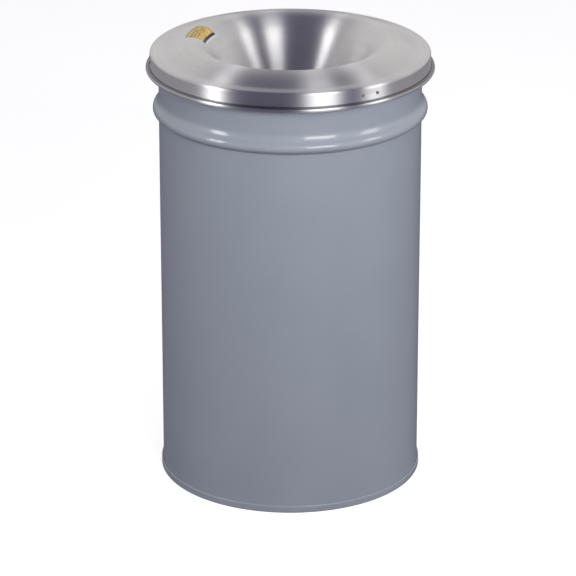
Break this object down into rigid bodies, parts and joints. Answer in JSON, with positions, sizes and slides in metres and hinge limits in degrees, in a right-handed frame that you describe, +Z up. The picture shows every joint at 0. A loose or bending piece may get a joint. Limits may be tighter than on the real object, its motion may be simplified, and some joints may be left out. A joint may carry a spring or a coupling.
{
  "type": "oily waste can",
  "caption": "Open-head steel drum for waste, with a lift-off spun aluminium head whose funnel smothers a fire inside.",
  "frame": {"origin": "on the drum's axis, in the plane the bottom seam stands on", "axes": "+Z up along the drum's axis, -Y the front, +Y the side with the welded seam"},
  "size_m": [0.3912, 0.3911, 0.6184],
  "materials": {
    "drum_paint": "semi-gloss grey enamel",
    "spun_aluminium": "polished, with fine spinning lines",
    "spring_steel": "bright spring steel",
    "rivet_aluminium": "satin",
    "label_vinyl": "gloss laminate, printed",
    "sealant": "matte"
  },
  "bodies": {
    "drum": {"drum_shell": "drum_paint", "drum_bottom": "drum_paint", "seam_sealant": "sealant"},
    "head": {"extinguishing_head": "spun_aluminium", "head_label": "label_vinyl", "retaining_clip_1": "spring_steel", "retaining_clip_2": "spring_steel", "retaining_clip_3": "spring_steel", "clip_rivet_1a": "rivet_aluminium", "clip_rivet_1b": "rivet_aluminium", "clip_rivet_2a": "rivet_aluminium", "clip_rivet_2b": "rivet_aluminium", "clip_rivet_3a": "rivet_aluminium", "clip_rivet_3b": "rivet_aluminium"}
  },
  "joints": [
    {"name": "head_lift", "type": "slide", "parent": "drum", "child": "head", "axis": [0, 0, 1], "range_m": [0, 0.15]}
  ]
}
